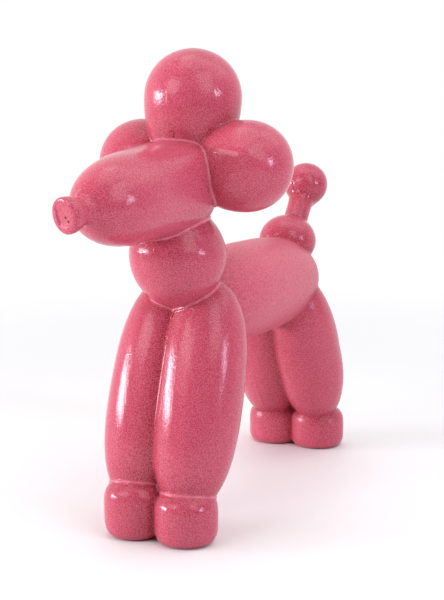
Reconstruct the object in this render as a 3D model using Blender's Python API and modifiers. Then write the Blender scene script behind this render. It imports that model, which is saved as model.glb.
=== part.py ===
"""Balloon poodle, one solid casting.

The sculpture copies a dog twisted from one long balloon.  Every bubble of that
balloon is a turned shape, fattest somewhere between its two twists, and all of
them are fused into one closed body that stands on four flat-bottomed feet.

Frame: +Z up, the dog looks along -Y and its left side is +X.  The origin is on
the ground under the middle of the dog's bounding box.  All sizes are metres.
"""

import math

import bpy
from mathutils import Vector

# ---- Driving dimensions -------------------------------------------------------

# Places along the dog (Y) are given from the middle of its length.
NECK_Y = -0.06132  # the neck stands ahead of the middle
HEAD_Y = NECK_Y + 0.0213  # upright axis that the head is turned about
HEAD_YAW = math.radians(-6.0)  # the head looks a little to the dog's right
HEAD_SHIFT_X = 0.0006  # topknot and ears sit this far to the left
FRONT_YAW = math.radians(-3.9)  # so do the front legs, turned about the foot of the neck

TOPKNOT_RADIUS = 0.0285
TOPKNOT_TOP_Z = 0.2792
TOPKNOT_TWIST_Z = 0.2050
TOPKNOT_LEAN_X = 0.0020  # its twist lies this far to the right of its top

EAR_RADIUS = 0.0263
EAR_TIP_X = 0.0618
EAR_Z = 0.2130
EAR_TWIST_X = 0.0020
EAR_TWIST_Z = 0.2115  # the twist lies a little below the ear's middle

SNOUT_RADIUS = 0.0254
SNOUT_REAR = 0.0040  # from the head's axis forward to the rear end of the snout
SNOUT_REACH = 0.1093  # and to its front end
SNOUT_REAR_Z = 0.2036
SNOUT_FRONT_Z = 0.1935
SNOUT_SQUARENESS = 0.9  # added to the power 2 of a round section, at the rear end

NOZZLE_RADIUS = 0.0098
NOZZLE_STEM_RADIUS = 0.0060
NOZZLE_ROOT = 0.1080  # from the head's axis forward to the nozzle's root
NOZZLE_REACH = 0.0150  # from its root to the face of its rim
NOZZLE_Z = 0.1918  # height of that face
NOZZLE_TURN = math.radians(14.0)  # to the dog's right of the snout
NOZZLE_DROOP = 0.16  # fall of the nozzle over its length

NECK_RADIUS = 0.0284
NECK_TOP_Z = 0.1906
NECK_BOTTOM_Z = 0.1316

TORSO_RADIUS = 0.0312
TORSO_FRONT_Z = 0.1295
TORSO_REAR_Z = 0.1250
TORSO_LENGTH = 0.1820

FRONT_LEG_RADIUS = 0.0258
FRONT_HIP = (0.0128, 0.0176, 0.1460)  # from the foot of the neck, left leg
FRONT_ANKLE = (0.0176, -0.0243, 0.0160)
REAR_LEG_RADIUS = 0.0240
REAR_HIP = (0.0120, 0.1498, 0.1301)
REAR_ANKLE = (0.0178, 0.1969, 0.0195)

FRONT_FOOT_RADIUS = 0.0185
REAR_FOOT_RADIUS = 0.0192
FOOT_X = 0.0162
FRONT_FOOT_Y = NECK_Y - 0.0255
REAR_FOOT_Y = NECK_Y + 0.1952
FRONT_LEFT_FOOT_TOP_Z = 0.0320
FRONT_RIGHT_FOOT_TOP_Z = 0.0350
REAR_FOOT_TOP_Z = 0.0300
FOOT_BURIED = 0.0030  # how far below the ground a foot would reach, uncut

TAIL_BASE_RADIUS = 0.0199
TAIL_BASE_REACH = 0.0178  # from its middle to either end
TAIL_BASE_Y = NECK_Y + 0.1742
TAIL_BASE_Z = 0.1512
TAIL_STEM_RADIUS = 0.0084
TAIL_BALL_RADIUS = 0.0154
TAIL_BALL_Y = NECK_Y + 0.2100
TAIL_BALL_Z = 0.1880

# Smoothness of the turned shapes
LARGE_STEPS = 28  # sides round a large bubble
SMALL_STEPS = 18  # sides round a foot, a tail bubble or the nozzle
LARGE_ROWS = 15  # bands along a large bubble
SMALL_ROWS = 10

MERGE_DISTANCE = 0.00005
NAME = "balloon_poodle"
PINK = (0.60, 0.105, 0.165, 1.0)


# ---- Scene helpers ------------------------------------------------------------


def clear_scene():
    for obj in list(bpy.data.objects):
        bpy.data.objects.remove(obj, do_unlink=True)


def new_collection(name):
    collection = bpy.data.collections.new(name)
    bpy.context.scene.collection.children.link(collection)
    return collection


def pink_enamel():
    material = bpy.data.materials.new("pink_enamel")
    material.use_nodes = True
    shader = material.node_tree.nodes["Principled BSDF"]
    shader.inputs["Base Color"].default_value = PINK
    shader.inputs["Roughness"].default_value = 0.3
    shader.inputs["Metallic"].default_value = 0.0
    return material


# ---- Turned bubbles -----------------------------------------------------------


def bubble_profile(below, above, radius, full_below, full_above, taper, rows, cut=1.0):
    """Half outline of a bubble, from its upper end down to its lower end.

    With s running from 1 at the upper end to -1 at the lower end, the radius is
    radius * (1 + taper * s) * sqrt(1 - |s| ** fullness): fullness 2 is an
    ellipse and more makes a blunter end.  cut stops the outline short of the
    lower end, at s = -cut, and closes it with a flat.
    """
    points = []
    last_angle = math.acos(-cut)
    for row in range(rows + 1):
        s = math.cos(last_angle * row / rows)
        length, fullness = (above, full_above) if s >= 0 else (below, full_below)
        r = radius * (1 + taper * s) * math.sqrt(max(0.0, 1 - abs(s) ** fullness))
        points.append((r, s * length))
    points[0] = (0.0, above)
    if cut < 1.0:
        points.append((0.0, points[-1][1]))
    else:
        points[-1] = (0.0, -below)
    return points


def turned(name, profile, steps, collection):
    """A closed turned shape about its own Z axis, from a half outline."""
    mesh = bpy.data.meshes.new(name)
    edges = [(i, i + 1) for i in range(len(profile) - 1)]
    mesh.from_pydata([(r, 0.0, z) for r, z in profile], edges, [])
    obj = bpy.data.objects.new(name, mesh)
    collection.objects.link(obj)
    screw = obj.modifiers.new("turn", "SCREW")
    screw.steps = screw.render_steps = steps
    screw.use_merge_vertices = True
    screw.merge_threshold = MERGE_DISTANCE
    screw.use_smooth_shade = True
    return obj


def bubble(name, start, end, radius, collection, fattest=0.5, fullness=(2.0, 2.0),
           taper=0.0, steps=LARGE_STEPS, rows=LARGE_ROWS, parent=None):
    """A bubble between two twist points.

    fattest is how far along from start the bubble is widest, and fullness gives
    the bluntness of its start and of its end.
    """
    start, end = Vector(start), Vector(end)
    axis = end - start
    length = axis.length
    profile = bubble_profile(length * fattest, length * (1 - fattest), radius,
                             fullness[0], fullness[1], taper, rows)
    obj = turned(name, profile, steps, collection)
    obj.location = start + axis * fattest
    obj.rotation_mode = "QUATERNION"
    obj.rotation_quaternion = axis.to_track_quat("Z", "Y")
    obj.parent = parent
    return obj


def squared_bubble(name, start, end, radius, collection, fattest, fullness, taper,
                   squareness, parent):
    """A bubble whose section is squarer than round at its start, laid out in rings.

    With s from -1 at the start to 1 at the end, the outline is that of a turned
    bubble and a ring is the curve |a| ** q + |b| ** q = r ** q, whose power q is
    2 + squareness * (0.35 - s), held between 2 and 2 + squareness.
    """
    start, end = Vector(start), Vector(end)
    axis = end - start
    along = axis.normalized()
    upright = along.cross(Vector((1.0, 0.0, 0.0))).normalized()
    across = along.cross(upright)
    middle = start + axis * fattest
    points, faces = [start], []
    for row in range(1, LARGE_ROWS):
        s = -math.cos(math.pi * row / LARGE_ROWS)
        share, power = (fattest, fullness[0]) if s < 0 else (1 - fattest, fullness[1])
        r = radius * (1 + taper * s) * math.sqrt(1 - abs(s) ** power)
        q = 2 + squareness * min(1.0, max(0.0, 0.35 - s))
        for step in range(LARGE_STEPS):
            v = 2 * math.pi * step / LARGE_STEPS
            reach = r / (abs(math.cos(v)) ** q + abs(math.sin(v)) ** q) ** (1 / q)
            points.append(middle + axis * (s * share)
                          + upright * (reach * math.cos(v)) + across * (reach * math.sin(v)))
    points.append(end)
    last = len(points) - 1
    for step in range(LARGE_STEPS):
        after = (step + 1) % LARGE_STEPS
        faces.append((0, 1 + after, 1 + step))
        for row in range(LARGE_ROWS - 2):
            ring = 1 + row * LARGE_STEPS
            faces.append((ring + step, ring + after, ring + LARGE_STEPS + after,
                          ring + LARGE_STEPS + step))
        faces.append((last - LARGE_STEPS + step, last - LARGE_STEPS + after, last))
    mesh = bpy.data.meshes.new(name)
    mesh.from_pydata(points, [], faces)
    mesh.shade_smooth()
    obj = bpy.data.objects.new(name, mesh)
    collection.objects.link(obj)
    obj.parent = parent
    return obj


# ---- Parts of the dog ---------------------------------------------------------


def head_pivot(collection):
    """An empty on the head's upright axis, turned by the head's yaw."""
    pivot = bpy.data.objects.new("head_pivot", None)
    pivot.location = (0.0, HEAD_Y, 0.0)
    pivot.rotation_euler = (0.0, 0.0, HEAD_YAW)
    collection.objects.link(pivot)
    return pivot


def make_head(collection, pivot):
    """Topknot, ears, snout and nozzle, placed from the head's own axis."""
    x = HEAD_SHIFT_X
    bubble("topknot", (x - TOPKNOT_LEAN_X, -0.003, TOPKNOT_TWIST_Z), (x, 0.001, TOPKNOT_TOP_Z),
           TOPKNOT_RADIUS, collection, fattest=0.615, fullness=(2.05, 2.0), parent=pivot)
    for side, name in ((1, "left_ear"), (-1, "right_ear")):
        bubble(name, (x + side * EAR_TWIST_X, -0.003, EAR_TWIST_Z),
               (x + side * EAR_TIP_X, 0.001, EAR_Z), EAR_RADIUS, collection,
               fattest=0.55, fullness=(2.3, 2.1), parent=pivot)
    squared_bubble("snout", (0, -SNOUT_REAR, SNOUT_REAR_Z), (0, -SNOUT_REACH, SNOUT_FRONT_Z),
                   SNOUT_RADIUS, collection, fattest=0.566, fullness=(8.0, 2.6), taper=-0.03,
                   squareness=SNOUT_SQUARENESS, parent=pivot)
    make_nozzle(collection, pivot)


def on_nozzle(out):
    """A place on the nozzle's own axis, out from its root, given from the head's axis."""
    return Vector((-out * math.sin(NOZZLE_TURN), -NOZZLE_ROOT - out * math.cos(NOZZLE_TURN),
                   NOZZLE_Z + NOZZLE_DROOP * (NOZZLE_REACH - out)))


def make_nozzle(collection, pivot):
    """The balloon's tied end: a short stem that flares to a rolled rim."""
    bubble("nozzle_stem", on_nozzle(-0.0080), on_nozzle(0.0125), NOZZLE_STEM_RADIUS, collection,
           fullness=(8, 8), steps=SMALL_STEPS, rows=SMALL_ROWS, parent=pivot)
    bubble("nozzle_rim", on_nozzle(0.0020), on_nozzle(NOZZLE_REACH), NOZZLE_RADIUS, collection,
           fattest=0.78, fullness=(2.2, 4.0), steps=SMALL_STEPS, rows=SMALL_ROWS, parent=pivot)


def make_neck_and_torso(collection):
    neck = bubble("neck", (0, NECK_Y + 0.0032, NECK_TOP_Z), (0, NECK_Y - 0.0055, NECK_BOTTOM_Z),
                  NECK_RADIUS, collection, fattest=0.484, fullness=(1.65, 1.9))
    front = (0, NECK_Y + 0.016, TORSO_FRONT_Z)
    rear = (0, NECK_Y + 0.016 + TORSO_LENGTH, TORSO_REAR_Z)
    bubble("torso", front, rear, TORSO_RADIUS, collection, fullness=(2.8, 2.8))
    return neck


def from_neck(place, side, yaw):
    """A left leg's place from the foot of the neck, mirrored for side -1, then turned."""
    x, y, z = place[0] * side, place[1], place[2]
    c, s = math.cos(yaw), math.sin(yaw)
    return Vector((x * c - y * s, NECK_Y + x * s + y * c, z))


def make_legs(collection):
    """Two pairs of long bubbles: the front pair slopes forward, the rear pair back."""
    pairs = (
        ("front", FRONT_HIP, FRONT_ANKLE, FRONT_YAW, FRONT_LEG_RADIUS, 0.46, (2.7, 2.9)),
        ("rear", REAR_HIP, REAR_ANKLE, 0.0, REAR_LEG_RADIUS, 0.5, (2.6, 2.7)),
    )
    for pair, hip, ankle, yaw, radius, fattest, fullness in pairs:
        for side, hand in ((1, "left"), (-1, "right")):
            bubble(f"{pair}_{hand}_leg", from_neck(hip, side, yaw), from_neck(ankle, side, yaw),
                   radius, collection, fattest=fattest, fullness=fullness)


def make_feet(collection):
    """Four short bubbles, each cut flat where it meets the ground."""
    feet = (
        ("front_left", 1, FRONT_FOOT_Y, FRONT_FOOT_RADIUS, FRONT_LEFT_FOOT_TOP_Z, 0.5, 3.6),
        ("front_right", -1, FRONT_FOOT_Y, FRONT_FOOT_RADIUS, FRONT_RIGHT_FOOT_TOP_Z, 0.5, 3.6),
        ("rear_left", 1, REAR_FOOT_Y, REAR_FOOT_RADIUS, REAR_FOOT_TOP_Z, 0.47, 4.0),
        ("rear_right", -1, REAR_FOOT_Y, REAR_FOOT_RADIUS, REAR_FOOT_TOP_Z, 0.47, 4.0),
    )
    for name, side, foot_y, radius, top, fattest, fullness in feet:
        height = top + FOOT_BURIED
        below = height * fattest
        middle = below - FOOT_BURIED
        profile = bubble_profile(below, height - below, radius, 5.0, fullness, 0.0, SMALL_ROWS,
                                 cut=middle / below)
        foot = turned(f"{name}_foot", profile, SMALL_STEPS, collection)
        foot.location = (side * FOOT_X, foot_y, middle)


def make_tail(collection):
    """A squat bubble on the rump, a thin stem and a small ball at its end."""
    base = Vector((0, TAIL_BASE_Y, TAIL_BASE_Z))
    lean = Vector((0, 0.2, 1)).normalized() * TAIL_BASE_REACH
    bubble("tail_base", base - lean, base + lean, TAIL_BASE_RADIUS, collection,
           steps=SMALL_STEPS, rows=SMALL_ROWS)
    ball = Vector((0, TAIL_BALL_Y, TAIL_BALL_Z))
    lean = Vector((0, 0.4, 1)).normalized() * TAIL_BALL_RADIUS
    bubble("tail_ball", ball - lean, ball + lean, TAIL_BALL_RADIUS, collection,
           steps=SMALL_STEPS, rows=SMALL_ROWS)
    bubble("tail_stem", base + Vector((0, 0.0115, 0.009)), ball - Vector((0, 0.003, 0.003)),
           TAIL_STEM_RADIUS, collection, fullness=(10, 10), steps=SMALL_STEPS, rows=SMALL_ROWS)


# ---- Assembly -----------------------------------------------------------------


def fuse(body, bubbles):
    """Join every bubble of a collection to the body as one closed skin."""
    union = body.modifiers.new("fuse", "BOOLEAN")
    union.operation = "UNION"
    union.solver = "EXACT"
    union.operand_type = "COLLECTION"
    union.collection = bubbles
    for obj in bubbles.objects:
        obj.hide_render = True
        obj.display_type = "WIRE"


def main():
    clear_scene()
    part = new_collection(NAME)
    bubbles = new_collection("bubbles")
    body = make_neck_and_torso(bubbles)
    make_head(bubbles, head_pivot(part))
    make_legs(bubbles)
    make_feet(bubbles)
    make_tail(bubbles)

    bubbles.objects.unlink(body)
    part.objects.link(body)
    body.name = NAME
    body.data.materials.append(pink_enamel())
    fuse(body, bubbles)


main()
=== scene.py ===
"""Balloon poodle: the painted casting and a studio round it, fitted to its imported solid.

The dog is a casting of a poodle twisted from one long balloon.  Every bubble of that
balloon is a turned surface between two twist points.  The casting operator lays those
surfaces out as grids, fuses them, then draws the fused skin on to the bubbles' blended
gap function, which carries the fillets in the creases and the casting's small relief.

Frame: +Z up, the dog looks along -Y and its left side is +X, all sizes in metres.
"""

import math
from typing import NamedTuple

import bpy
import numpy as np
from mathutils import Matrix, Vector


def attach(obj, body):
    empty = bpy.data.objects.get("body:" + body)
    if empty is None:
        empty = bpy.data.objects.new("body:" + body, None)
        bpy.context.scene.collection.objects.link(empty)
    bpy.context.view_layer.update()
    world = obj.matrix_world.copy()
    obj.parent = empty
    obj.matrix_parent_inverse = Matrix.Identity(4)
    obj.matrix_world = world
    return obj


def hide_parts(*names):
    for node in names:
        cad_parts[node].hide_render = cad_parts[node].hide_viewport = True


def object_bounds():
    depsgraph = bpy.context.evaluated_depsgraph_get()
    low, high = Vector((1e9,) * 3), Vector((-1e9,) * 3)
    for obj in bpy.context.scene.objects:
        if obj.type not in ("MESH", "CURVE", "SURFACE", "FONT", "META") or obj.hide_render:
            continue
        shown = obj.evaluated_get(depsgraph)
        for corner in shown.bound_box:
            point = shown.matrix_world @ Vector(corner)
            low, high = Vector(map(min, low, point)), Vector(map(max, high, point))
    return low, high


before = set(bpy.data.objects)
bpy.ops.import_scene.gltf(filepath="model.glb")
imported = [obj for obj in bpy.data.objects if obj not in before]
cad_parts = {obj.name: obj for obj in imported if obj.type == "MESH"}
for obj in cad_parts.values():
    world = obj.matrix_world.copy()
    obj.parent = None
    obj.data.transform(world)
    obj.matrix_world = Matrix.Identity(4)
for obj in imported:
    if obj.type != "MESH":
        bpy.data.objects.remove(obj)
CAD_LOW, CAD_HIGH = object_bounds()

bl_info = {
    "name": "Balloon Poodle Casting",
    "version": (1, 0, 0),
    "blender": (4, 5, 0),
    "location": "3D View > Sidebar > Poodle",
    "description": "Builds the painted casting of a balloon poodle and a studio round it",
    "category": "Object",
}

NODE = "balloon_poodle"
BODY = "root"
MM = 0.001
FAR = 0.05  # stands for the gap to a bubble that is out of reach

# ---- The balloon's bubbles ----

# The solid's own box gives the ground and the top of the topknot.  Other places are given
# from the foot of the neck, from the head's upright axis or from the nozzle's root.
GROUND_Z = CAD_LOW.z
TOP_Z = CAD_HIGH.z
NECK_Y = -0.06132  # the neck stands ahead of the middle
HEAD_Y = NECK_Y + 0.0213  # the upright axis that the head is turned about
HEAD_YAW = math.radians(-6.0)  # the head looks a little to the dog's right
HEAD_X = 0.0006  # the topknot and the ears sit this far to the left
FRONT_YAW = math.radians(-3.9)  # the front legs are turned as a pair

NOZZLE_ROOT = 0.1080  # from the head's axis forward
NOZZLE_REACH = 0.0150  # from its root to its face
NOZZLE_Z = 0.1918  # height of the face
NOZZLE_TURN = math.radians(14.0)  # to the right of the snout
NOZZLE_DROOP = 0.16  # fall over its length
DISH_RADIUS = 0.0230  # of the ball that hollows the nozzle's face
DISH_DEPTH = 0.0014


class Bubble(NamedTuple):
    """A turned bubble between two twists, widest at the fraction fattest of its length."""

    start: np.ndarray
    end: np.ndarray
    radius: float
    fattest: float = 0.5
    fullness: tuple = (2.0, 2.0)
    taper: float = 0.0
    square: float = 0.0  # how much squarer than round its start is in section


def on_head(x, y, z):
    """A place given from the head's upright axis, turned with the head."""
    c, s = math.cos(HEAD_YAW), math.sin(HEAD_YAW)
    return np.array((x * c - y * s, HEAD_Y + x * s + y * c, z))


def on_body(x, y, z):
    """A place given from the foot of the neck's upright axis."""
    return np.array((x, NECK_Y + y, z))


def on_front(x, y, z):
    """A place given from the foot of the neck, turned with the pair of front legs."""
    c, s = math.cos(FRONT_YAW), math.sin(FRONT_YAW)
    return on_body(x * c - y * s, x * s + y * c, z)


def leaning(centre, lean, reach, radius):
    """A round bubble about a centre, its axis along lean, reach from centre to each end."""
    half = np.array(lean) / np.linalg.norm(lean) * reach
    return Bubble(centre - half, centre + half, radius)


def on_nozzle(across, out, up):
    """A place given from the nozzle's root: across to its left, out along it, and up."""
    c, s = math.cos(NOZZLE_TURN), math.sin(NOZZLE_TURN)
    droop = NOZZLE_DROOP * (NOZZLE_REACH - out)
    return on_head(across * c - out * s, -NOZZLE_ROOT - out * c - across * s,
                   NOZZLE_Z + droop + up)


NOZZLE = on_nozzle(0.0, NOZZLE_REACH, 0.0)  # the middle of its face
DISH_CENTRE = on_nozzle(0.0, NOZZLE_REACH + DISH_RADIUS - DISH_DEPTH, 0.0)
TAIL_BASE = on_body(0.0, 0.1742, 0.1512)
TAIL_BALL = on_body(0.0, 0.2100, 0.1880)


def balloon_bubbles():
    """Every bubble of the dog by name, the same bubbles that the solid is fused from."""
    made = {
        "topknot": Bubble(on_head(HEAD_X - 0.002, -0.003, 0.2050),
                          on_head(HEAD_X, 0.001, TOP_Z),
                          radius=0.0285, fattest=0.615, fullness=(2.05, 2.0)),
        "snout": Bubble(on_head(0, -0.004, 0.2036), on_head(0, -0.1093, 0.1935),
                        radius=0.0254, fattest=0.566, fullness=(8.0, 2.6),
                        taper=-0.03, square=0.9),
        "nozzle_stem": Bubble(on_nozzle(0, -0.0080, 0), on_nozzle(0, 0.0125, 0),
                              radius=0.0060, fullness=(8.0, 8.0)),
        "nozzle_rim": Bubble(on_nozzle(0, 0.0020, 0), NOZZLE,
                             radius=0.0098, fattest=0.78, fullness=(2.2, 4.0)),
        "neck": Bubble(on_body(0, 0.0032, 0.1906), on_body(0, -0.0055, 0.1316),
                       radius=0.0284, fattest=0.484, fullness=(1.65, 1.9)),
        "torso": Bubble(on_body(0, 0.016, 0.1295), on_body(0, 0.198, 0.125),
                        radius=0.0312, fullness=(2.8, 2.8)),
        "tail_base": leaning(TAIL_BASE, (0, 0.2, 1), reach=0.0178, radius=0.0199),
        "tail_ball": leaning(TAIL_BALL, (0, 0.4, 1), reach=0.0154, radius=0.0154),
        "tail_stem": Bubble(TAIL_BASE + (0, 0.0115, 0.009), TAIL_BALL - (0, 0.003, 0.003),
                            radius=0.0084, fullness=(10.0, 10.0)),
    }
    for side, hand in ((1, "left"), (-1, "right")):
        made[f"{hand}_ear"] = Bubble(
            on_head(HEAD_X + side * 0.002, -0.003, 0.2115),
            on_head(HEAD_X + side * 0.0618, 0.001, 0.213),
            radius=0.0263, fattest=0.55, fullness=(2.3, 2.1))
        made[f"front_{hand}_leg"] = Bubble(
            on_front(side * 0.0128, 0.0176, 0.146), on_front(side * 0.0176, -0.0243, 0.016),
            radius=0.0258, fattest=0.46, fullness=(2.7, 2.9))
        made[f"rear_{hand}_leg"] = Bubble(
            on_body(side * 0.0120, 0.1498, 0.1301), on_body(side * 0.0178, 0.1969, 0.0195),
            radius=0.024, fullness=(2.6, 2.7))
        made[f"front_{hand}_foot"] = Bubble(
            on_body(side * 0.0162, -0.0255, -0.003),
            on_body(side * 0.0162, -0.0255, 0.0335 - side * 0.0015),
            radius=0.0185, fullness=(5.0, 3.6))
        made[f"rear_{hand}_foot"] = Bubble(
            on_body(side * 0.0162, 0.1952, -0.003), on_body(side * 0.0162, 0.1952, 0.030),
            radius=0.0192, fattest=15.5 / 33, fullness=(5.0, 4.0))
    return made


BUBBLES = balloon_bubbles()
KINDS = [name.replace("left_", "").replace("right_", "") for name in BUBBLES]
NOZZLE_BUBBLES = [index for index, kind in enumerate(KINDS) if kind.startswith("nozzle")]

# The mould left a bead in the creases between these, but none between a pair of legs or
# of feet, nor between the topknot and an ear.  A highlight is painted along each bead.
WITH_BEAD = {"topknot", "ear", "snout", "neck", "front_leg", "front_foot"}
NO_BEAD = ({"topknot", "ear"}, {"front_leg"}, {"front_foot"})
BEADED = np.array([[1.0 * ({a, b} <= WITH_BEAD and {a, b} not in NO_BEAD) for a in KINDS]
                   for b in KINDS])

# The share of the gloss that is gone from each kind of bubble.  Where much is gone, pale
# specks are also laid in the colour: a worn look that also paints in the torso's sheen.
WORN_KINDS = {"torso": 0.8, "rear_leg": 0.25, "rear_foot": 0.4}
WORN = np.array([WORN_KINDS.get(kind, 0.0) for kind in KINDS])


# ---- Surfaces as functions of two parameters ----


def axis_frame(bubble):
    """Unit vectors along a bubble's axis and across it, and its fattest place."""
    run = bubble.end - bubble.start
    along = run / np.linalg.norm(run)
    helper = np.array((1.0, 0.0, 0.0)) if abs(along[0]) < 0.8 else np.array((0.0, 0.0, 1.0))
    side = np.cross(along, helper)
    side /= np.linalg.norm(side)
    return along, side, np.cross(along, side), bubble.start + run * bubble.fattest


def section_power(bubble, s):
    """The power of a bubble's section, 2 for round: squarest at the start, s = -1."""
    return 2.0 + bubble.square * np.clip(0.35 - s, 0.0, 1.0)


def bubble_surface(bubble, rows, columns):
    """Points and quads of a bubble, and the rings of points that close its two ends.

    Formula: u runs from 0 at the start twist to 1 at the end twist, v once round.  With
    s = -cos(pi u), the point stands s half-lengths along the axis from the fattest place
    and R (1 + taper s) sqrt(1 - |s| ** fullness) out from it in the direction v, over
    (|cos v| ** q + |sin v| ** q) ** (1 / q), where q is the section's power.
    """
    along, side, other, middle = axis_frame(bubble)
    length = np.linalg.norm(bubble.end - bubble.start)
    s = -np.cos(np.pi * np.linspace(0.0, 1.0, rows + 1))[:, None]
    v = 2.0 * np.pi * np.arange(columns) / columns
    half = np.where(s < 0, length * bubble.fattest, length * (1.0 - bubble.fattest))
    power = np.where(s < 0, *bubble.fullness)
    radius = bubble.radius * (1.0 + bubble.taper * s)
    radius = radius * np.sqrt(np.clip(1.0 - np.abs(s) ** power, 1e-6, None))
    q = section_power(bubble, s)
    radius = radius / (np.abs(np.cos(v)) ** q + np.abs(np.sin(v)) ** q) ** (1.0 / q)
    points = (middle + (s * half)[..., None] * along
              + (radius * np.cos(v))[..., None] * side
              + (radius * np.sin(v))[..., None] * other).reshape(-1, 3)
    row, column = np.meshgrid(np.arange(rows), np.arange(columns), indexing="ij")
    beside = (column + 1) % columns
    quads = np.stack([row * columns + column, row * columns + beside,
                      (row + 1) * columns + beside, (row + 1) * columns + column], -1)
    ends = np.arange(columns)[::-1], rows * columns + np.arange(columns)
    return points, quads.reshape(-1, 4), ends


def mesh_of(name, points, faces):
    """A mesh from an array of points and a list of face index arrays."""
    mesh = bpy.data.meshes.new(name)
    mesh.from_pydata(points.tolist(), [], [f.tolist() for f in faces])
    mesh.update()
    return mesh


def shown(name, data):
    """An object for a mesh, lamp or camera, in the scene's own collection, at the origin."""
    obj = bpy.data.objects.new(name, data)
    bpy.context.scene.collection.objects.link(obj)
    return obj


# ---- The casting's small relief ----

WEBS = (  # places where the resin lies thick in the creases: centre, reach, extra fillet
    (on_body(0.002, -0.009, 0.131), 0.007, 2.2),
    (on_body(0.0, 0.190, 0.178), 0.009, 4.0),
    (on_body(0.0, 0.184, 0.165), 0.008, 2.6),
    (on_nozzle(0.0, -0.001, 0.0), 0.012, 4.0),
    (TAIL_BALL - (0.0, 0.003, 0.0135), 0.009, 7.0),
)


class Score(NamedTuple):
    """A line or a spot on the skin: raised, or cut where its height is below zero.

    A narrow one is a lip, a crack or a pinhole, and a wide one a pleat or a swelling.
    """

    places: tuple
    height: float
    width: float
    soot: float = 0.0  # how dark the painted shade at the bottom of it is


def scores():
    """The casting's own marks: pinholes, short cracks, lips, wrinkles and an ear's pleat.

    Heights and widths are in millimetres here, and a line is a tuple of its places.
    """
    made = []

    def marks(where, height, width, *lines, soot=0.0):
        made.extend(Score(tuple(where(*place) for place in line), height * MM, width * MM,
                          soot) for line in lines)

    # Pinholes and cracks get shade painted at their bottoms.
    def pinholes(where, width, *places):
        marks(where, -0.9 * width, width, *[(place,) for place in places], soot=1.0)

    def cracks(where, *lines):
        marks(where, -0.6, 0.32, *lines, soot=1.0)

    def lips(where, *lines):
        marks(where, 0.55, 0.45, *lines)

    pinholes(on_head, 0.42, (-0.0051, -0.0133, 0.2754), (-0.0037, -0.024, 0.2657))
    pinholes(on_body, 0.42, (0.0176, -0.0206, 0.1467), (-0.0077, 0.1227, 0.1571))
    pinholes(on_head, 0.3, (-0.0072, -0.0245, 0.2665))
    pinholes(on_body, 0.3, (0.0237, -0.0142, 0.1159), (-0.0140, 0.1722, 0.0255))
    pinholes(on_nozzle, 0.72, (0.0014, 0.0138, -0.0007), (0.0035, 0.0139, -0.0026))
    # At the foot of the topknot, on the tail's ball and over the left front foot.
    cracks(on_head, ((0.0008, -0.0273, 0.2319), (0.0032, -0.0270, 0.2320),
                     (0.0028, -0.0263, 0.2290)))
    cracks(on_body, ((-0.0050, 0.1984, 0.1925), (-0.0040, 0.1976, 0.1885),
                     (-0.0026, 0.1968, 0.1845)),
           ((0.0141, -0.0353, 0.0322), (0.0145, -0.0353, 0.0305)))
    # Between the snout and the ear, under the neck and over both front feet.
    lips(on_head, ((0.0222, -0.0262, 0.2215), (0.0246, -0.0270, 0.2140),
                   (0.0254, -0.0276, 0.2080)))
    lips(on_body, ((0.0010, -0.0060, 0.1312), (0.0050, -0.0075, 0.1322),
                   (0.0090, -0.0078, 0.1330)),
         ((0.0010, -0.0060, 0.1300), (-0.0002, -0.0072, 0.1250)),
         ((0.0085, -0.0078, 0.1310), (0.0125, -0.0080, 0.1318), (0.0150, -0.0082, 0.1305)),
         ((-0.0235, -0.0330, 0.0318), (-0.0150, -0.0350, 0.0305)),
         ((0.0063, -0.0323, 0.0300), (0.0135, -0.0350, 0.0300)))
    # A wrinkle down the right hind leg, and crumbs in the groove between the front legs.
    marks(on_body, 0.45, 0.7, ((-0.0178, 0.1555, 0.050), (-0.0167, 0.1614, 0.039),
                               (-0.0160, 0.1690, 0.029)))
    marks(on_body, 0.5, 0.7, ((-0.0006, -0.0108, 0.1180),), ((0.0002, -0.0120, 0.1150),),
          ((0.0004, -0.0148, 0.1110),))
    # The left ear's pleat, and the swelling that it ends in.
    marks(on_head, 1.0, 4.4, ((0.0270, -0.0237, 0.2243), (0.0338, -0.0254, 0.2228),
                              (0.0384, -0.0256, 0.2216), (0.0445, -0.0248, 0.2200)))
    marks(on_head, 1.0, 6.0, ((0.0480, -0.0224, 0.2222),))
    # Lumps round the nozzle's root, a groove in its face and grains along its edge.
    marks(on_nozzle, 0.8, 1.3, ((-0.0042, 0.0009, 0.0083), (-0.0032, 0.0000, 0.0094)))
    marks(on_nozzle, 0.7, 0.8, ((0.0004, 0.0022, 0.0082), (0.0030, 0.0012, 0.0072)))
    marks(on_nozzle, 0.6, 0.9, ((0.0063, 0.0012, 0.0039), (0.0073, 0.0004, 0.0015)))
    marks(on_nozzle, -0.8, 0.9, ((-0.0044, 0.0147, 0.0045), (-0.0044, 0.0142, 0.0006),
                                 (-0.0030, 0.0138, -0.0040)))
    marks(on_nozzle, 0.3, 0.5, ((-0.0027, 0.0155, 0.0075),), ((0.0002, 0.0156, 0.0079),),
          ((0.0029, 0.0155, 0.0079),))
    marks(on_nozzle, 0.35, 0.45, ((-0.0016, 0.0136, -0.0056), (-0.0002, 0.0136, -0.0062)),
          ((0.0006, 0.0136, -0.0064), (0.0020, 0.0136, -0.0062)))
    return made


def seam_planes():
    """The mould's parting plane through each stretch of the dog: place, normal, reach."""
    turned = on_head(1.0, 0.0, 0.0) - on_head(0.0, 0.0, 0.0)
    tilted = np.array((1.0, 0.0, 0.29))
    upright = np.array((1.0, 0.0, 0.0))
    return (
        (on_head(HEAD_X - 0.0007, -0.02, 0.252), turned, 0.034),
        (on_body(0.0005, -0.028, 0.1628), tilted / np.linalg.norm(tilted), 0.024),
        (on_body(0.0, 0.100, 0.157), upright, 0.060),
    )


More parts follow.
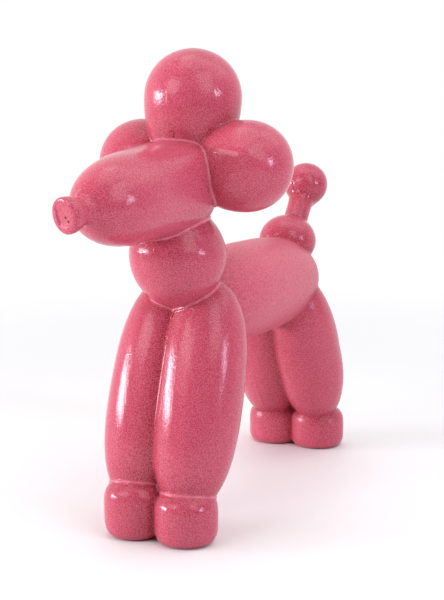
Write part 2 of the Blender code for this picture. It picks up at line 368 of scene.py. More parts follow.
SCORES = scores()
SEAMS = seam_planes()
SEAM_PATCHES = np.array((0.0, 400.0, 900.0))  # plane waves, in radians per metre
BEAD_PATCHES = np.array(((700.0, 520.0, 610.0), (-1500.0, 1900.0, 1300.0)))
rng = np.random.default_rng(23)
WAVE_WAYS = rng.normal(size=(14, 3))
WAVE_WAYS /= np.linalg.norm(WAVE_WAYS, axis=1, keepdims=True)
WAVE_LENGTHS = np.linspace(0.011, 0.046, 14)
WAVE_PHASES = rng.uniform(0.0, 2.0 * np.pi, 14)


def near_line(points, places):
    """Distance from points to the line through places, and the ways from it to them."""
    best, ways = np.full(len(points), np.inf), np.zeros_like(points)
    for a, b in zip(places[:-1] or places, places[1:] or places):
        run = b - a
        t = np.clip((points - a) @ run / max(run @ run, 1e-12), 0.0, 1.0)[:, None]
        out = points - a - t * run
        far = np.linalg.norm(out, axis=1)
        nearer = far < best
        best[nearer], ways[nearer] = far[nearer], out[nearer]
    return best, ways / np.maximum(best, 1e-7)[:, None]


def close_to(points, places, reach):
    """Which points lie in a ball round the places, larger than their stretch by reach."""
    places = np.array(places)
    centre = (places.max(0) + places.min(0)) / 2
    half = np.linalg.norm(places.max(0) - places.min(0)) / 2 + reach
    offset = points - centre
    return np.flatnonzero((offset * offset).sum(1) < half * half)


def unevenness(points, depth):
    """Slow waviness of a hand-made pattern, and its slope.

    Formula: the sum over plane waves of depth * L * sin(2 pi p . w / L + phase), with
    the wave lengths L spread evenly and the ways w and phases drawn once.
    """
    height, slope = np.zeros(len(points)), np.zeros_like(points)
    for way, length, phase in zip(WAVE_WAYS, WAVE_LENGTHS, WAVE_PHASES):
        k = 2.0 * np.pi / length
        angle = points @ (way * k) + phase
        height += depth * length * np.sin(angle)
        slope += (depth * length * k * np.cos(angle))[:, None] * way
    return height, slope


def relief(points, sizes):
    """Height of the small relief above the smooth skin, its slope, and the shade painted at
    the bottom of its pinholes and cracks.

    Formula: unevenness, plus for each score h * exp(-(d / w) ** 2) with d the distance to
    its line, plus for each seam h * exp(-(x / w) ** 2) with x the distance to its plane,
    made patchy by a plane wave and faded by exp(-(r / reach) ** 4) with r the distance to
    the middle of its stretch.
    """
    height, slope = unevenness(points, sizes["unevenness"])
    soot = np.zeros(len(points))
    for score in SCORES:
        near = close_to(points, score.places, 3.0 * score.width)
        d, way = near_line(points[near], score.places)
        h = score.height * np.exp(-(d / score.width) ** 2)
        height[near] += h
        slope[near] += (-2.0 * d / score.width ** 2 * h)[:, None] * way
        # Shade painted at the bottom of a pinhole or crack.
        if score.soot:
            soot[near] = np.maximum(soot[near], np.exp(-(d / (1.2 * score.width)) ** 4))
    width = sizes["seam_width"]
    for middle, normal, reach in SEAMS:
        near = close_to(points, (middle,), 1.5 * reach)
        offset = points[near] - middle
        x = offset @ normal
        fade = np.exp(-((offset * offset).sum(1) / reach ** 2) ** 2)
        patchy = 0.6 + 0.4 * np.sin(points[near] @ SEAM_PATCHES)
        h = sizes["seam_height"] * fade * patchy * np.exp(-(x / width) ** 2)
        height[near] += h
        slope[near] += (-2.0 * x / width ** 2 * h)[:, None] * normal
    return height, slope, soot


# ---- The casting's skin ----


def bubble_gap(bubble, points):
    """Gap from points to a bubble's skin, negative inside, and the way out of it.

    Formula: with s and rho a point's place along the axis, in half-lengths, and its
    distance from it, g = (rho / R) ** 2 + |s| ** fullness - 1 is 0 on the skin.  The gap
    is g over the length of its gradient, and the way out is along that gradient.  Where
    the section is squarer than round, rho is (|a| ** q + |b| ** q) ** (1 / q).
    """
    along, side, other, middle = axis_frame(bubble)
    length = np.linalg.norm(bubble.end - bubble.start)
    offset = points - middle
    u = offset @ along
    before = u < 0
    half = np.where(before, -length * bubble.fattest, length * (1.0 - bubble.fattest))
    power = np.where(before, *bubble.fullness)
    s = np.clip(u / half, 1e-6, 1.6)
    signed = s * np.sign(half)
    if bubble.square:
        q = section_power(bubble, signed)
        a, b = offset @ side, offset @ other
        rho = np.maximum((np.abs(a) ** q + np.abs(b) ** q) ** (1.0 / q), 1e-7)
        spoke = ((np.sign(a) * (np.abs(a) / rho) ** (q - 1.0))[:, None] * side
                 + (np.sign(b) * (np.abs(b) / rho) ** (q - 1.0))[:, None] * other)
    else:
        spoke = offset - u[:, None] * along
        rho = np.sqrt(np.maximum((spoke * spoke).sum(1), 1e-14))
        spoke = spoke / rho[:, None]
    radius = bubble.radius * np.maximum(1.0 + bubble.taper * signed, 0.3)
    g = (rho / radius) ** 2 + s ** power - 1.0
    way = (2.0 * rho / radius ** 2)[:, None] * spoke
    way += (power * s ** (power - 1.0) / half)[:, None] * along
    steep = np.maximum(np.linalg.norm(way, axis=1), 0.5 / max(bubble.radius, length / 2))
    return g / steep, way / steep[:, None]


def near_bubble(bubble, points):
    """Which points lie within a ball round the bubble, 6 mm larger than it."""
    offset = points - (bubble.start + bubble.end) / 2
    half = np.linalg.norm(bubble.end - bubble.start) / 2
    reach = math.hypot(half, bubble.radius) + 6 * MM
    return np.flatnonzero((offset * offset).sum(1) < reach * reach)


def all_gaps(points):
    """The gap to every bubble, FAR where one is out of reach, and the ways out of them."""
    gaps = np.full((len(BUBBLES), len(points)), FAR)
    ways = []
    for row, bubble in zip(gaps, BUBBLES.values()):
        near = near_bubble(bubble, points)
        row[near], way = bubble_gap(bubble, points[near])
        ways.append((near, way))
    return gaps, ways


def crease_nearness(gaps):
    """How much further the second nearest bubble is than the nearest, in metres."""
    two = np.partition(gaps, 1, axis=0)
    return two[1] - two[0]


def nearest_pair(gaps):
    """Indices of the nearest and the second nearest bubble."""
    first = gaps.argmin(0)
    rest = gaps.copy()
    rest[first, np.arange(len(first))] = np.inf
    return first, rest.argmin(0)


def crease_bead(points, gaps, ways, sizes):
    """The fine bead along the creases: its height and slope, the nearness and its share,
    which also masks the highlight painted along the bead.

    Formula: h * patches * exp(-(n / w) ** 2) in a beaded crease, with n the crease
    nearness, whose own slope is the way out of the second nearest bubble less that of
    the nearest, and patches 0.7 plus the sines of two plane waves.
    """
    first, second = nearest_pair(gaps)
    nearness = crease_nearness(gaps)
    width = sizes["bead_width"]
    slow, quick = np.sin(BEAD_PATCHES @ points.T)
    patches = 0.7 + 0.2 * slow + 0.1 * quick
    share = patches * BEADED[first, second] * np.exp(-(nearness / width) ** 2)
    height = sizes["bead_height"] * share
    slope = np.zeros_like(points)
    for index, (near, out) in enumerate(ways):
        slope[near] += ((second[near] == index) * 1.0 - (first[near] == index))[:, None] * out
    return height, (-2.0 * nearness / width ** 2 * height)[:, None] * slope, nearness, share


# Painted shade, laid into the paint's colour in and beside the creases.
CREASE_SHADE_REACH = 5.0 * MM  # how far out of a crease the painted shade reaches
SHADE_BEAD_CLEAR = 1.2 * MM  # it starts this far from a bead
SHADE_BESIDE_BEAD = 0.7  # its strength there, where 1 is the bottom of a bare crease
SHADE_ROUND_NOZZLE = 0.25  # the share of it that is left round the nozzle
DISH_SHADE = 0.3  # painted shade in the nozzle's dish, a recess
DISH_WEAR = 0.5  # the share of the gloss that is gone in there
WEAR_BLEND = 0.5 * MM  # how softly the wear changes from bubble to bubble


def painted_crease_shade(points, nearness):
    """Painted shade in the paint's colour: most beside a beaded crease, or down in a bare one.

    Formula: k * (1 - exp(-(n / a) ** 2)) * exp(-n / b) with n the crease nearness; in a
    crease without a bead k is larger and the bracket is left out.
    """
    pair = nearest_pair(all_gaps(points)[0])
    off_bead = 1.0 - np.exp(-(nearness / SHADE_BEAD_CLEAR) ** 2)
    most = np.where(BEADED[pair] > 0, SHADE_BESIDE_BEAD * off_bead, 1.0)
    most[np.isin(pair, NOZZLE_BUBBLES).any(0)] *= SHADE_ROUND_NOZZLE
    return most * np.exp(-nearness / CREASE_SHADE_REACH)


def wear(points):
    """How far the gloss has gone: most on the torso, partly on the hind legs and feet.

    Formula: the mean of the bubbles' own wear, weighted by exp(-(gap - least gap) / a).
    """
    gaps, _ = all_gaps(points)
    weights = np.exp((gaps.min(0) - gaps) / WEAR_BLEND)
    return (weights * WORN[:, None]).sum(0) / weights.sum(0)


def fillet_at(points, sizes):
    """Size of the creases' rounding: larger in the webs, and a little uneven.

    Formula: f * (1 + a quick unevenness) kept between 0.55 f and 1.9 f, plus for each web
    f * extra * exp(-(d / reach) ** 2) with d the distance to its centre.
    """
    height, _ = unevenness(points * 2.5, 0.014)
    size = sizes["fillet"] * np.clip(1.0 + 60.0 * height, 0.55, 1.9)
    for centre, reach, extra in WEBS:
        offset = points - centre
        size += sizes["fillet"] * extra * np.exp(-(offset * offset).sum(1) / reach ** 2)
    return size


def cut_back(gap, way, cut, cut_way, edge):
    """Takes away what lies inside a cut, with a rounded edge; cut is the gap to the rest.

    Formula: e * log(exp(gap / e) + exp(cut / e)), the rounded larger of the two.
    """
    most = np.maximum(gap, cut)
    kept, cut_part = np.exp((gap - most) / edge), np.exp((cut - most) / edge)
    both = kept + cut_part
    return (most + edge * np.log(both),
            (kept / both)[:, None] * way + (cut_part / both)[:, None] * cut_way)


def dish_gap(points):
    """Gap to the space left by the dish in the nozzle's face, and the way out of it.

    Formula: R - r with r the distance to the dish's centre, along the way to it.
    """
    out = DISH_CENTRE - points
    far = np.maximum(np.linalg.norm(out, axis=1), 1e-7)
    return DISH_RADIUS - far, out / far[:, None]


def skin(points, sizes, fine=True):
    """Gap to the whole casting, the way out of it, the crease nearness and the bead's share.

    Formula: the fused gap is the smallest bubble gap less the log of the sum of
    exp(-excess / fillet), which rounds each crease.  The heights of the relief and the
    bead are taken off it, and the relief's off the dish's gap as well.  Then the dish
    and the flat soles are cut back.  The direction is the mix of ways out by the same
    weights, less the slopes.
    """
    gaps, ways = all_gaps(points)
    least = gaps.min(0)
    fillet = fillet_at(points, sizes)
    weights = np.exp((least - gaps) / fillet)
    total = weights.sum(0)
    gap = least - fillet * np.log(total)
    way = np.zeros_like(points)
    for weight, (near, out) in zip(weights, ways):
        way[near] += (weight[near] / total[near])[:, None] * out
    bead, bead_slope, nearness, share = crease_bead(points, gaps, ways, sizes)
    near = close_to(points, (NOZZLE,), 14 * MM)
    dish, dish_way = dish_gap(points[near])
    if fine:
        height, slope, _ = relief(points, sizes)
        gap, way = gap - height - bead, way - slope - bead_slope
        dish, dish_way = dish - height[near], dish_way - slope[near]
    edge = sizes["sole_edge"]
    gap[near], way[near] = cut_back(gap[near], way[near], dish, dish_way, edge * 0.6)
    gap, way = cut_back(gap, way, GROUND_Z - points[:, 2], np.array((0.0, 0.0, -1.0)), edge)
    way /= np.maximum(np.linalg.norm(way, axis=1, keepdims=True), 1e-9)
    return gap, way, nearness, share


def draw_on(points, sizes, rounds=2, fine=True):
    """Moves points along the way out of the skin, or into it, on to the skin."""
    for _ in range(rounds):
        gap, way, _, _ = skin(points, sizes, fine)
        points = points - np.clip(gap, -MM, MM)[:, None] * way
    return points


def settle(marks, sizes):
    """Draws the places of each score on to the smooth skin."""
    for index, mark in enumerate(marks):
        places = draw_on(np.array(mark.places), sizes, 8, fine=False)
        marks[index] = mark._replace(places=tuple(places))


def edges_of(triangles):
    """Each edge once, as sorted pairs, and which three edges a triangle has."""
    pairs = np.sort(triangles[:, [[0, 1], [1, 2], [2, 0]]].reshape(-1, 2), axis=1)
    count = int(pairs.max()) + 1
    keys, which = np.unique(pairs[:, 0] * count + pairs[:, 1], return_inverse=True)
    return np.stack([keys // count, keys % count], 1), which.reshape(-1, 3)


def relax(points, triangles, sizes, rounds=2):
    """Evens out the triangles: a step towards each point's neighbours, then back on."""
    edges, _ = edges_of(triangles)
    count = np.bincount(edges.ravel(), minlength=len(points))[:, None]
    for _ in range(rounds):
        total = np.stack([np.bincount(edges[:, 0], points[edges[:, 1], k], len(points))
                          + np.bincount(edges[:, 1], points[edges[:, 0], k], len(points))
                          for k in range(3)], 1)
        points = draw_on(points + 0.5 * (total / count - points), sizes, 1)
    return points


def split_long(points, triangles, wanted):
    """Halves the edges longer than wanted(midpoint), and parts their triangles to suit."""
    edges, which = edges_of(triangles)
    middles = points[edges].mean(1)
    long = np.linalg.norm(points[edges[:, 0]] - points[edges[:, 1]], axis=1) > wanted(middles)
    fresh = np.where(long, len(points) + np.cumsum(long) - 1, -1)
    a, b, c = triangles.T
    m = fresh[which]
    ab, bc, ca = m.T
    cut = (m >= 0)
    code = cut @ np.array((1, 2, 4))
    out = [triangles[code == 0]]

    def part(mask, *corners):
        out.extend(np.stack([t[mask] for t in tri], 1) for tri in corners)

    part(code == 1, (a, ab, c), (ab, b, c))
    part(code == 2, (b, bc, a), (bc, c, a))
    part(code == 4, (c, ca, b), (ca, a, b))
    part(code == 3, (ab, b, bc), (a, ab, bc), (a, bc, c))
    part(code == 6, (bc, c, ca), (b, bc, ca), (b, ca, a))
    part(code == 5, (ca, a, ab), (c, ca, ab), (c, ab, b))
    part(code == 7, (a, ab, ca), (ab, b, bc), (ca, bc, c), (ab, bc, ca))
    return np.concatenate([points, middles[long]]), np.concatenate(out), int(long.sum())


def fused_bubbles(voxel):
    """Points and triangles of one closed skin over all the bubbles, a voxel coarse."""
    points, faces, start = [], [], 0
    for bubble in BUBBLES.values():
        rows = 48 if bubble.radius > 20 * MM else 28
        p, quads, ends = bubble_surface(bubble, rows, 2 * rows)
        points.append(np.maximum(p, (-1.0, -1.0, GROUND_Z)))
        faces += list(quads + start) + [end + start for end in ends]
        start += len(p)
    rough = shown("rough", mesh_of("rough", np.concatenate(points), faces))
    remesh = rough.modifiers.new("fuse", "REMESH")
    remesh.mode = "VOXEL"
    remesh.voxel_size = voxel
    mesh = bpy.data.meshes.new_from_object(rough.evaluated_get(
        bpy.context.evaluated_depsgraph_get()))
    bpy.data.objects.remove(rough)
    co = np.zeros(len(mesh.vertices) * 3, np.float32)
    mesh.vertices.foreach_get("co", co)
    mesh.calc_loop_triangles()
    triangles = np.zeros(len(mesh.loop_triangles) * 3, np.int32)
    mesh.loop_triangles.foreach_get("vertices", triangles)
    bpy.data.meshes.remove(mesh)
    return co.reshape(-1, 3).astype(float), triangles.reshape(-1, 3).astype(np.int64)


def fine_edge(points, sizes):
    """Longest edge that still shows the marks, seams and rim that are near each point.

    Formula: 0.62 of a mark's width within 2.4 widths of it, 1.1 of a seam's width within
    2.2 widths of it, and 0.7 mm round the nozzle's face.
    """
    longest = np.full(len(points), sizes["open_edge"])
    for score in SCORES:
        reach = 2.4 * score.width
        near = close_to(points, score.places, reach)
        d, _ = near_line(points[near], score.places)
        close = near[d < reach]
        longest[close] = np.minimum(longest[close], 0.62 * score.width)
    for middle, normal, reach in SEAMS:
        offset = points - middle
        close = ((np.abs(offset @ normal) < 2.2 * sizes["seam_width"])
                 & ((offset * offset).sum(1) < reach * reach))
        longest[close] = np.minimum(longest[close], 1.1 * sizes["seam_width"])
    rim = np.linalg.norm(points - NOZZLE, axis=1) < 11.5 * MM
    longest[rim] = np.minimum(longest[rim], 0.7 * MM)
    return longest


def casting_mesh(sizes):
    """The whole skin: fused, drawn on to the gap function, refined along the creases."""

    def wanted(places):
        """Longest edge: short in a crease, and longer by as much as it lies off it."""
        off_crease = crease_nearness(all_gaps(places)[0]) - 0.7 * MM
        shortest = sizes["crease_edge"]
        crease = np.clip(shortest + off_crease, shortest, sizes["open_edge"])
        return np.minimum(crease, fine_edge(places, sizes))

    points, triangles = fused_bubbles(sizes["voxel"])
    points = relax(draw_on(points, sizes, 4), triangles, sizes)
    for _ in range(5):
        points, triangles, added = split_long(points, triangles, wanted)
        points = relax(draw_on(points, sizes, 1), triangles, sizes)
        if not added:
            break
    points = draw_on(points, sizes)
    points = np.clip(points, np.array(CAD_LOW) + 1e-5, np.array(CAD_HIGH) - 1e-5)
    return points, triangles


# ---- Shader expressions ----


def feed(slot, value):
    """Links a term to a socket, or sets the socket to a plain value."""
    if isinstance(value, Term):
        slot.id_data.links.new(value.socket, slot)
    else:
        slot.default_value = value


class Term:
    """A socket in an expression: arithmetic on it adds Math nodes to its tree."""

    def __init__(self, socket):
        self.socket = socket

    def _maths(self, operation, left, right, clamp=False):
        node = self.socket.id_data.nodes.new("ShaderNodeMath")
        node.operation, node.use_clamp = operation, clamp
        feed(node.inputs[0], left)
        feed(node.inputs[1], right)
        return Term(node.outputs[0])

    def __add__(self, other):
        return self._maths("ADD", self, other)

    def __sub__(self, other):
        return self._maths("SUBTRACT", self, other)

    def __rsub__(self, other):
        return self._maths("SUBTRACT", other, self)

    def __mul__(self, other):
        return self._maths("MULTIPLY", self, other)

    __radd__, __rmul__ = __add__, __mul__

    def clamped(self):
        """The term kept between 0 and 1."""
        return self._maths("ADD", self, 0.0, clamp=True)

    def steeper(self, gain):
        """The term spread gain times wider about 0.5, and kept between 0 and 1."""
        return ((self - 0.5) * gain + 0.5).clamped()


class Nodes:
    """A node tree being put together: one method adds any node."""

    def __init__(self, tree):
        self.tree = tree

    def node(self, kind, output=0, settings=(), **sockets):
        """Adds a node, sets its settings, then feeds its sockets; returns one output.

        A socket is given by its name, with _ for a space, or as _N by its number.
        """
        node = self.tree.nodes.new(kind)
        for key, value in dict(settings).items():
            setattr(node, key, value)
        for key, value in sockets.items():
            socket = int(key[1:]) if key[1:].isdigit() else key.replace("_", " ")
            feed(node.inputs[socket], value)
        return Term(node.outputs[output])

    def noise(self, place, size, detail=0.0, rough=0.5):
        """Cloudy noise, centred on 0.5, whose features are size metres across."""
        return self.node("ShaderNodeTexNoise", "Fac", Vector=place, Scale=1.0 / size,
                         Detail=detail, Roughness=rough)

    def ramp(self, value, start, stop):
        """Eases from 0 to 1 as the value goes from start to stop."""
        return self.node("ShaderNodeMapRange", 0, {"interpolation_type": "SMOOTHSTEP"},
                         Value=value, From_Min=start, From_Max=stop)

    def blend(self, amount, first, second):
        """Colour between first and second."""
        return self.node("ShaderNodeMix", 2, {"data_type": "RGBA"}, _0=amount, _6=first,
                         _7=second)


def finish(name):
    """A new material, its nodes and its shader's sockets."""
    material = bpy.data.materials.new(name)
    material.use_nodes = True
    nodes = Nodes(material.node_tree)
    return material, nodes, nodes.tree.nodes["Principled BSDF"].inputs


def opaque(colour):
    """A colour with its alpha."""
    return tuple(colour) + (1.0,)


def enamel(looks):
    """Brushed pink enamel over resin: fine orange peel and flecks, painted shade in the pinholes.

    The skin's own layers say where shade is painted beside a crease, in the nozzle's dish
    and in pinholes and cracks, where a highlight is painted along a bead, and where the
    gloss has gone, with pale specks there that also paint in a sheen.
    """
    material, n, shader = finish("pink_enamel")
    place = n.node("ShaderNodeTexCoord", "Object")
    crease, bead, dull, soot = (
        n.node("ShaderNodeAttribute", "Fac", {"attribute_name": name})
        for name in ("crease", "bead", "dull", "soot"))
    drift = n.noise(place, 0.045, 3.0, 0.55)
    grain = n.noise(place, looks.grain_size, 1.0, 0.6)
    fleck = n.noise(place, looks.grain_size * 0.45)
    speck = n.noise(place, looks.grain_size * 0.85)
    colour = opaque(looks.deep)
    # Over the drifting paint: painted shade beside the creases, a painted highlight along the
    # beads, random pale flecks, pale specks on worn parts that also paint in the torso's sheen,
    # and painted shade in pinholes and cracks.
    for amount, over in ((drift.steeper(1.6), looks.paint),
                         (crease, looks.crease),
                         ((bead * 0.9).clamped(), looks.bead),
                         (fleck.steeper(5.0) * 0.65, looks.light),
                         (speck.steeper(5.0) * dull * dull, looks.light),
                         ((soot * 1.1).clamped(), looks.soot)):
        colour = n.blend(amount, colour, opaque(over))
    feed(shader["Base Color"], colour)
    feed(shader["Roughness"], (fleck - 0.5) * 0.08 + soot * 0.4 + dull * 0.3
         + looks.roughness)
    feed(shader["IOR"], looks.gloss)
    feed(shader["Normal"], n.node("ShaderNodeBump", 0, Strength=1.0,
                                  Distance=looks.peel_depth, Height=grain))
    return material


def pale_paint(colour, glow):
    """The floor's even pale sheet, very slightly mottled, glowing in its far parts."""
    material, n, shader = finish("pale_floor")
    place = n.node("ShaderNodeTexCoord", "Object")
    mottle = n.noise(place, 0.05, 3.0)
    away = n.node("ShaderNodeVectorMath", "Value", {"operation": "LENGTH"}, _0=place)
    feed(shader["Base Color"], n.blend(mottle * 0.03, opaque(colour),
                                       opaque(c * 0.94 for c in colour)))
    feed(shader["Roughness"], 0.6)
    feed(shader["Emission Color"], n.blend(n.ramp(away, 0.3, 1.4), opaque((0.0, 0.0, 0.0)),
                                           opaque((1.0, 1.0, 1.0))))
    feed(shader["Emission Strength"], glow)
    return material


# ---- Lamps ----

# Each lamp: name, azimuth in degrees from the dog's front towards its left, degrees above the
# level, distance, width and height of the pane in metres, watts and colour.
COOL, BLUISH, WHITE = (1.0, 0.94, 1.05), (0.95, 0.97, 1.28), (1.0, 1.0, 1.0)
LAMPS = (
    ("window_wide", -62.0, 8.2, 3.00, (1.30, 0.36), 66.0, COOL),
    ("window_small", 84.0, 12.8, 2.40, (0.32, 0.50), 12.0, BLUISH),
    ("front_panel", -26.0, 30.0, 0.75, (0.40, 0.34), 1.85, WHITE),
    ("side_panel", 56.0, 40.0, 0.75, (0.36, 0.56), 1.75, WHITE),
    ("soft_right", -66.0, 16.0, 1.6, (1.2, 0.8), 0.6, WHITE),
    ("soft_left", 114.0, 52.0, 1.6, (1.2, 0.9), 4.4, WHITE),
    ("overhead", -117.0, 75.0, 0.75, (0.15, 0.15), 0.03, WHITE),
    ("ceiling", 0.0, 89.0, 1.6, (1.2, 1.2), 7.8, WHITE),
)

LAMP_AIM = Vector((0.0, 0.0, 0.13))


def outward(azimuth, height):
    """Unit vector towards an azimuth from the dog's front, and a height above the level."""
    return Vector((math.sin(azimuth) * math.cos(height),
                   -math.cos(azimuth) * math.cos(height), math.sin(height)))


def looking_back(name, data, target, way, distance):
    """A lamp's or camera's object, distance out from target and turned to face it."""
    obj = shown(name, data)
    obj.location = target + way * distance
    obj.rotation_euler = (-way).to_track_quat("-Z", "Y").to_euler()
    return obj


# ---- Properties ----


def a_length(name, description, default, least, most):
    """A property for a length in metres."""
    return bpy.props.FloatProperty(name=name, description=description, default=default,
                                   min=least, max=most, precision=6, unit="LENGTH")


def a_colour(name, description, default):
    """A property for a colour."""
    return bpy.props.FloatVectorProperty(name=name, description=description, default=default,
                                         subtype="COLOR", size=3, min=0.0, max=1.0)


def a_number(name, description, default, most):
    """A property for a plain number from 0 up."""
    return bpy.props.FloatProperty(name=name, description=description, default=default,
                                   min=0.0, max=most, precision=5)


class POODLE_PG_casting(bpy.types.PropertyGroup):
    """Sizes and colours of the casting."""

    fillet: a_length(
        "Crease Fillet", "Rounding where two bubbles meet", 0.5 * MM, 0.1 * MM, 3 * MM)
    sole_edge: a_length(
        "Sole Edge", "Rounding of the edge under each foot", 0.6 * MM, 0.1 * MM, 3 * MM)
    voxel: a_length(
        "Fusing Voxel", "Coarseness of the first fused skin", 2.0 * MM, 0.8 * MM, 4 * MM)
    open_edge: a_length(
        "Open Edge Length", "Longest triangle edge on an open bubble", 3.0 * MM, 0.5 * MM, 5 * MM)
    crease_edge: a_length(
        "Crease Edge Length", "Longest triangle edge in a crease", 0.72 * MM, 0.2 * MM, 2 * MM)
    seam_height: a_length(
        "Seam Height", "How far the mould's parting line stands up", 0.12 * MM, 0.0, 1 * MM)
    seam_width: a_length(
        "Seam Width", "Half width of the mould's parting line", 0.5 * MM, 0.1 * MM, 3 * MM)
    bead_height: a_length(
        "Bead Height", "How far the bead along the creases stands up", 0.6 * MM, 0.0, 1 * MM)
    bead_width: a_length(
        "Bead Width", "Half width of the bead along the creases", 0.85 * MM, 0.1 * MM, 3 * MM)
    unevenness: a_number(
        "Unevenness", "Height of the slow waviness over its wave length", 0.0008, 0.02)
    grain_size: a_length(
        "Grain Size", "Size of the enamel's orange peel", 1.15 * MM, 0.2 * MM, 5 * MM)
    peel_depth: a_length(
        "Peel Depth", "Height of the enamel's orange peel", 0.10 * MM, 0.0, 1 * MM)
    roughness: a_number("Roughness", "Roughness of the enamel", 0.17, 1.0)
    gloss: a_number("Gloss", "Refractive index of the enamel's surface", 1.36, 2.0)
    paint: a_colour("Paint", "Main colour of the enamel", (0.480, 0.060, 0.106))
    deep: a_colour("Deep Paint", "Colour where the enamel lies thick", (0.432, 0.050, 0.091))
    # The flecks are random; their specks on worn parts also paint in the torso's pale sheen.
    light: a_colour("Light Fleck", "Colour of the fine pale flecks", (0.69, 0.145, 0.205))
    # The crease colour is painted shade beside the creases and in the nozzle's dish.
    crease: a_colour(
        "Crease Paint", "Colour of the thick paint beside the creases", (0.29, 0.015, 0.031))
    # The bead colour is a painted highlight along the creases' beads.
    bead: a_colour(
        "Bead Paint", "Colour of the thin paint on the creases' beads", (0.82, 0.22, 0.31))
    # The colour at the bottom of pinholes and cracks is painted shade.
    soot: a_colour("Soot", "Colour at the bottom of pinholes and cracks", (0.05, 0.004, 0.008))


class POODLE_PG_stage(bpy.types.PropertyGroup):
    """Floor, camera and lights."""

    floor_size: a_length("Floor Size", "Side of the square floor", 2.4, 1.0, 10.0)
    floor_colour: a_colour("Floor Colour", "Colour of the pale floor", (0.88, 0.88, 0.88))
    azimuth: bpy.props.FloatProperty(
        name="View Azimuth", description="How far round to the dog's left the camera stands",
        default=math.radians(24.1), subtype="ANGLE")
    pitch: bpy.props.FloatProperty(
        name="View Pitch", description="How far down the camera looks",
        default=math.radians(9.5), subtype="ANGLE")
    distance: a_length(
        "View Distance", "From the camera to the point it looks at", 0.7818, 0.1, 10.0)
    aim: bpy.props.FloatVectorProperty(
        name="View Target", description="The point that the camera looks at", size=3,
        default=(0.0, -0.0001, 0.1257), subtype="XYZ", unit="LENGTH")
    lens: bpy.props.FloatProperty(
        name="Lens", description="Focal length on a 36 mm sensor, in millimetres",
        default=75.0, min=10.0)
    near_light: a_number(
        "Near Light", "Brightness of the room overhead behind the camera", 0.05, 10.0)
    far_light: a_number("Far Light", "Brightness of the white wall beyond the dog", 1.0, 10.0)
    floor_glow: a_number(
        "Floor Glow", "Light of the floor's far parts, which lie in full light", 0.40, 10.0)


# ---- Operators ----


class POODLE_OT_casting(bpy.types.Operator):
    """Build the painted casting in the place of its solid"""

    bl_idname = "poodle.casting"
    bl_label = "Build Casting"
    bl_options = {"REGISTER", "UNDO"}

    def execute(self, context):
        looks = context.scene.poodle_casting
        sizes = {name: getattr(looks, name) for name in
                 ("fillet", "sole_edge", "voxel", "open_edge", "crease_edge", "seam_height",
                  "seam_width", "bead_height", "bead_width", "unevenness")}
        settle(SCORES, sizes)
        points, triangles = casting_mesh(sizes)
        if len(triangles) == 0:
            raise RuntimeError("the bubbles could not be fused")
        mesh = mesh_of("poodle_casting", points, triangles)
        mesh.shade_smooth()
        _, normals, nearness, bead = skin(points, sizes)
        mesh.normals_split_custom_set_from_vertices(normals.tolist())
        in_dish = dish_gap(points)[0] > -0.3 * MM
        # Layers of the paint's colour: painted shade beside the creases and in the dish, the
        # bead's painted highlight, painted shade in pinholes and cracks, and worn gloss whose
        # pale specks also paint in a sheen.
        layers = {
            "soot": relief(points, sizes)[2],
            "crease": np.maximum(painted_crease_shade(points, nearness), DISH_SHADE * in_dish),
            "bead": bead,
            "dull": np.maximum(wear(points), DISH_WEAR * in_dish),
        }
        for name, values in layers.items():
            layer = mesh.attributes.new(name, "FLOAT", "POINT")
            layer.data.foreach_set("value", values.astype(np.float32))
        mesh.materials.append(enamel(looks))
        casting = shown("poodle_casting", mesh)
        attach(casting, BODY)
        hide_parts(NODE)
        return {"FINISHED"}


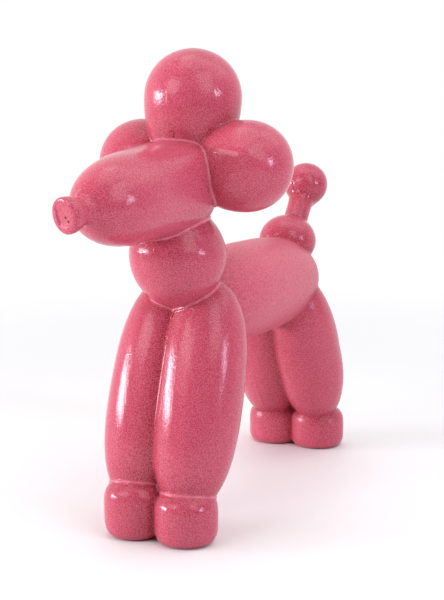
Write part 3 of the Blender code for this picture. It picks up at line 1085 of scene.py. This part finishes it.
class POODLE_OT_stage(bpy.types.Operator):
    """Lay the pale floor, hang the lights and place the camera"""

    bl_idname = "poodle.stage"
    bl_label = "Set Stage"
    bl_options = {"REGISTER", "UNDO"}

    def execute(self, context):
        scene, stage = context.scene, context.scene.poodle_stage
        self.floor(stage)
        self.surroundings(scene, stage)
        for lamp in LAMPS:
            self.light(*lamp)
        self.camera(scene, stage)
        return {"FINISHED"}

    def floor(self, stage):
        """A flat square of cells just under the soles."""
        cells = 8
        line = np.linspace(-stage.floor_size / 2, stage.floor_size / 2, cells + 1)
        x, y = np.meshgrid(line, line)
        points = np.stack([x, y, np.full_like(x, GROUND_Z - 0.1 * MM)], -1).reshape(-1, 3)
        i, j = np.meshgrid(np.arange(cells), np.arange(cells))
        k = (i * (cells + 1) + j).ravel()
        quads = np.stack([k, k + 1, k + cells + 2, k + cells + 1], 1)
        mesh = mesh_of("floor", points, quads)
        mesh.materials.append(pale_paint(stage.floor_colour, stage.floor_glow))
        shown("floor", mesh)

    def surroundings(self, scene, stage):
        """A white wall beyond the dog; behind the camera the room is lit only overhead."""
        world = bpy.data.worlds.new("white_room")
        world.use_nodes = True
        nodes = Nodes(world.node_tree)
        ray = nodes.node("ShaderNodeTexCoord", "Generated")
        ahead = (-math.sin(stage.azimuth), math.cos(stage.azimuth), 0.0)
        along = nodes.node("ShaderNodeVectorMath", "Value", {"operation": "DOT_PRODUCT"},
                           _0=ray, _1=ahead)
        up = nodes.node("ShaderNodeSeparateXYZ", "Z", Vector=ray)
        wall = nodes.ramp(along, -0.3, 0.5)
        overhead = nodes.ramp(up, 0.15, 0.5) * stage.near_light
        background = nodes.tree.nodes["Background"].inputs
        feed(background["Strength"], wall * stage.far_light + (1.0 - wall) * overhead)
        feed(background["Color"], opaque((1.0, 1.0, 1.0)))
        scene.world = world
        scene.view_settings.view_transform = "Standard"

    def light(self, name, azimuth, height, distance, size, power, tint):
        """A rectangular lamp turned towards the dog."""
        lamp = bpy.data.lights.new(name, "AREA")
        lamp.shape = "RECTANGLE"
        lamp.size, lamp.size_y = size
        lamp.energy, lamp.color = power, tint
        way = outward(math.radians(azimuth), math.radians(height))
        looking_back(name, lamp, LAMP_AIM, way, distance)

    def camera(self, scene, stage):
        """The camera, in front of the dog and round to its left."""
        lens = bpy.data.cameras.new("camera")
        lens.lens, lens.sensor_width = stage.lens, 36.0
        lens.clip_start, lens.clip_end = 0.01, 50.0
        scene.camera = looking_back("camera", lens, Vector(stage.aim),
                                    outward(stage.azimuth, stage.pitch), stage.distance)


class POODLE_PT_panel(bpy.types.Panel):
    """Sizes, colours and build buttons"""

    bl_idname = "POODLE_PT_panel"
    bl_label = "Balloon Poodle"
    bl_space_type = "VIEW_3D"
    bl_region_type = "UI"
    bl_category = "Poodle"

    def draw(self, context):
        for title, group, operator in (("Casting", context.scene.poodle_casting,
                                        POODLE_OT_casting),
                                       ("Stage", context.scene.poodle_stage, POODLE_OT_stage)):
            box = self.layout.box()
            box.label(text=title)
            for name in group.bl_rna.properties.keys():
                if name not in {"rna_type", "name"}:
                    box.prop(group, name)
            box.operator(operator.bl_idname)


CLASSES = (POODLE_PG_casting, POODLE_PG_stage, POODLE_OT_casting, POODLE_OT_stage,
           POODLE_PT_panel)


def register():
    for cls in CLASSES:
        bpy.utils.register_class(cls)
    bpy.types.Scene.poodle_casting = bpy.props.PointerProperty(type=POODLE_PG_casting)
    bpy.types.Scene.poodle_stage = bpy.props.PointerProperty(type=POODLE_PG_stage)


def unregister():
    del bpy.types.Scene.poodle_stage
    del bpy.types.Scene.poodle_casting
    for cls in reversed(CLASSES):
        bpy.utils.unregister_class(cls)


def main():
    register()
    bpy.ops.poodle.casting()
    bpy.ops.poodle.stage()


if __name__ == "__main__":
    main()
